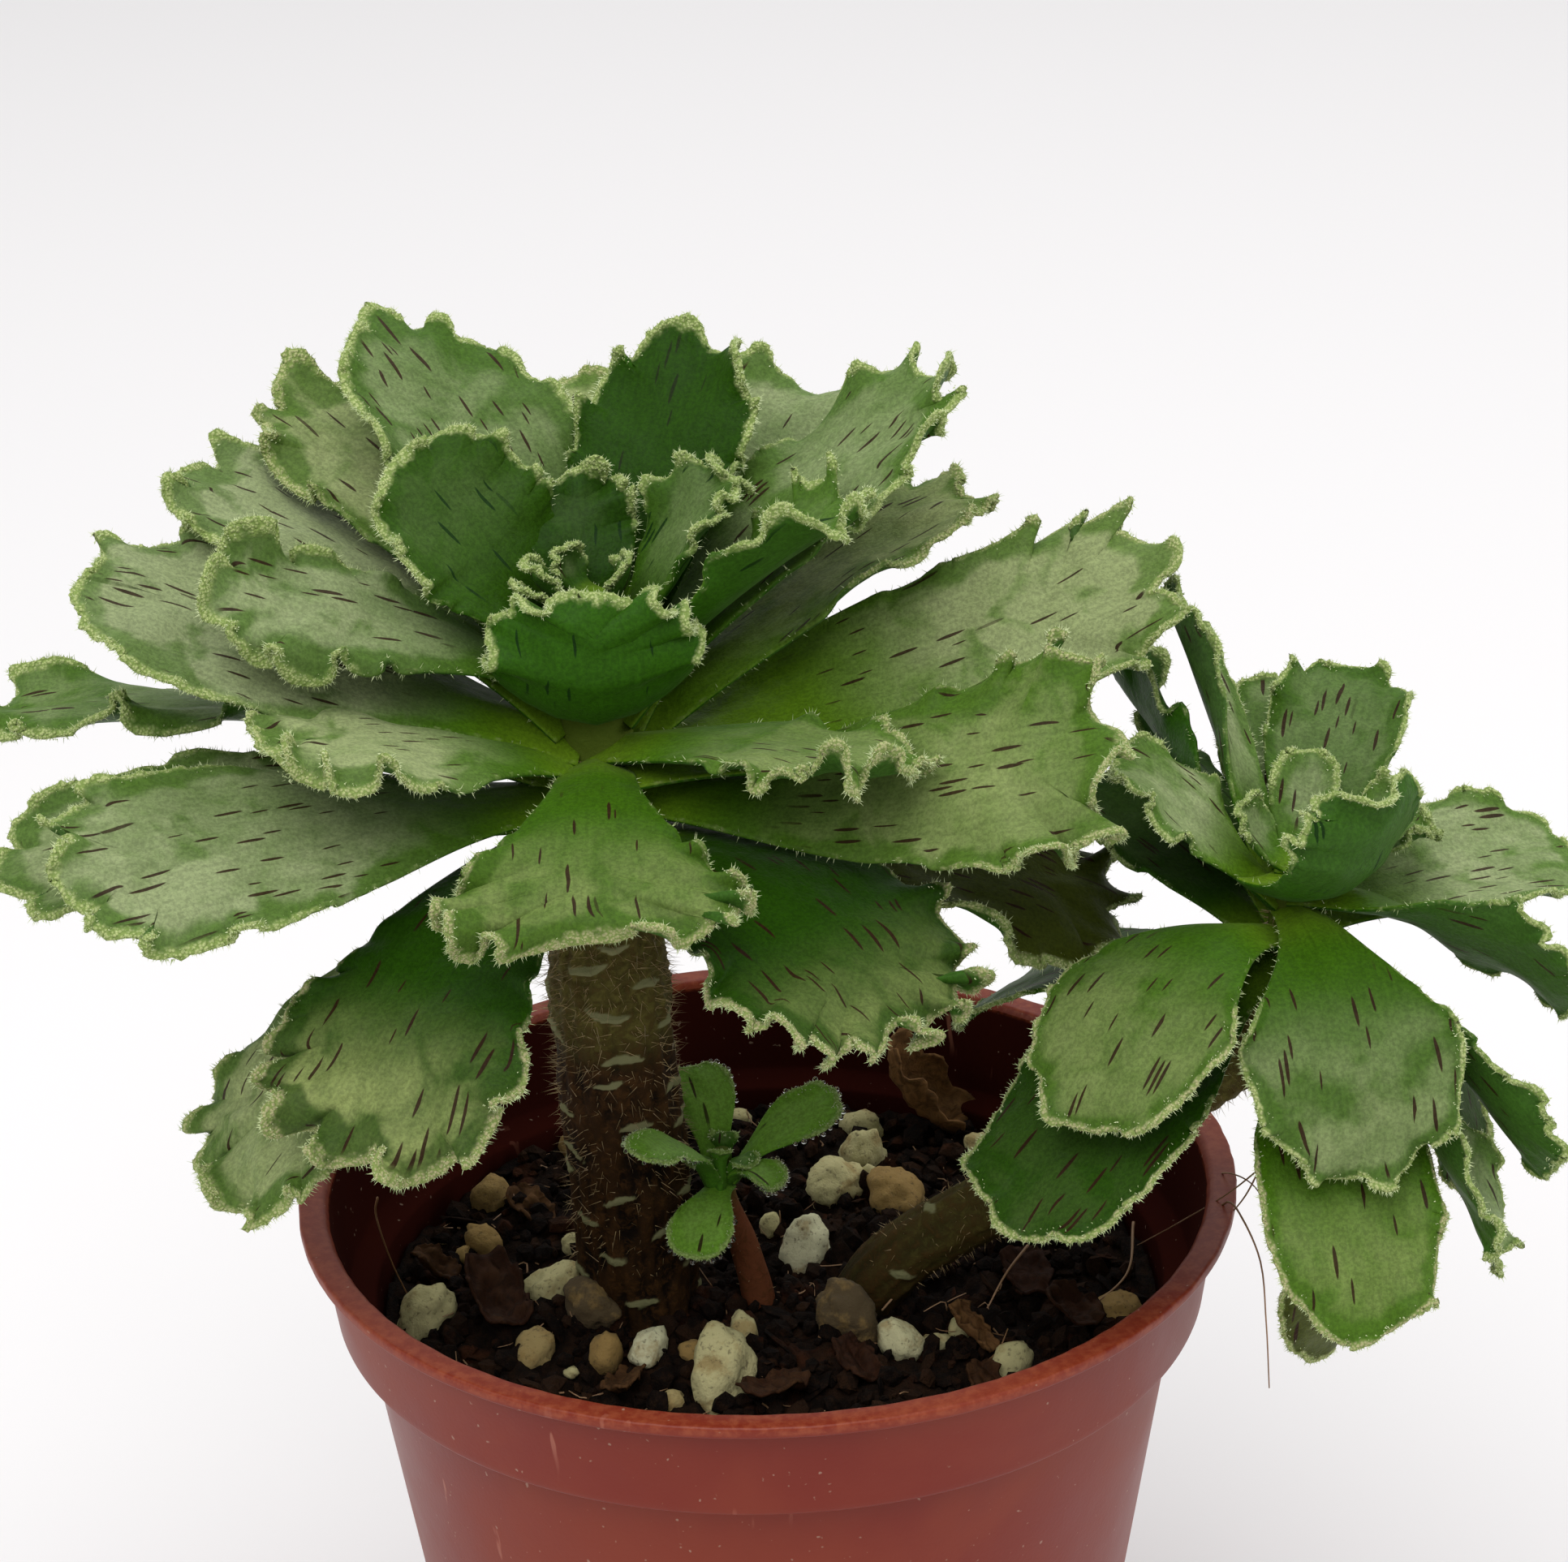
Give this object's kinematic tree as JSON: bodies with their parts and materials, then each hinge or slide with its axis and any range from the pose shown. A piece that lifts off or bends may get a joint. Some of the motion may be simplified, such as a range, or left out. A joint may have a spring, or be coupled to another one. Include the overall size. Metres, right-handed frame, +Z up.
{
  "type": "potted aeonium",
  "caption": "Branching succulent with ruffled hairy leaves in rosettes on a bark stem, growing in gritty soil in a plain round tapered plastic nursery pot.",
  "frame": {"origin": "centre of the pot's underside", "axes": "+Z up, along the pot's axis, and +Y away from the picture's viewpoint"},
  "size_m": [0.1511, 0.09, 0.1577],
  "materials": {
    "pot_plastic": "satin brick red",
    "soil": "rough dark mix with pale pumice",
    "bark": "matt, hairy, with leaf scars",
    "young_stem": "smooth reddish brown",
    "leaf": "soft matt green, hairy edge"
  },
  "bodies": {
    "root": {"pot": "pot_plastic", "soil": "soil", "main_stem": "bark", "side_stem": "bark", "pup_stem": "young_stem", "tall_leaf_back_left": "leaf", "tall_leaf_far_left": "leaf", "tall_leaf_back_middle": "leaf", "tall_leaf_back_dark": "leaf", "tall_leaf_back_right": "leaf", "tall_leaf_right_high": "leaf", "tall_leaf_right_behind": "leaf", "tall_leaf_left_high": "leaf", "tall_leaf_left_broad": "leaf", "tall_leaf_left_curled": "leaf", "tall_leaf_inner_left": "leaf", "tall_leaf_inner_back": "leaf", "tall_leaf_inner_right": "leaf", "tall_leaf_inner_cup": "leaf", "tall_leaf_right_upright": "leaf", "tall_leaf_right_long": "leaf", "tall_leaf_right_low": "leaf", "tall_leaf_right_front": "leaf", "tall_leaf_left_front": "leaf", "tall_leaf_left_low": "leaf", "tall_leaf_left_under": "leaf", "tall_leaf_left_edge_on": "leaf", "tall_leaf_front_fan": "leaf", "tall_leaf_front_left": "leaf", "tall_leaf_front_left_under": "leaf", "tall_leaf_front_right": "leaf", "tall_leaf_right_olive": "leaf", "tall_leaf_back_low_right": "leaf", "tall_leaf_back_low": "leaf", "tall_heart": "leaf", "side_leaf_folded_high": "leaf", "side_leaf_folded_dark": "leaf", "side_leaf_left_grey": "leaf", "side_leaf_left_shaded": "leaf", "side_leaf_left_behind": "leaf", "side_leaf_front_left": "leaf", "side_leaf_front_middle": "leaf", "side_leaf_low_left": "leaf", "side_leaf_low_middle": "leaf", "side_leaf_low_brown": "leaf", "side_leaf_right_edge_on": "leaf", "side_leaf_right_folded": "leaf", "side_leaf_right_hanging": "leaf", "side_leaf_right_under": "leaf", "side_leaf_upper_back": "leaf", "side_leaf_upper_behind": "leaf", "side_leaf_right_broad": "leaf", "side_leaf_inner_cup": "leaf", "side_leaf_inner_right": "leaf", "side_heart": "leaf", "pup_leaf_back": "leaf", "pup_leaf_right": "leaf", "pup_leaf_left": "leaf", "pup_leaf_front": "leaf", "pup_leaf_small": "leaf"}
  },
  "joints": []
}
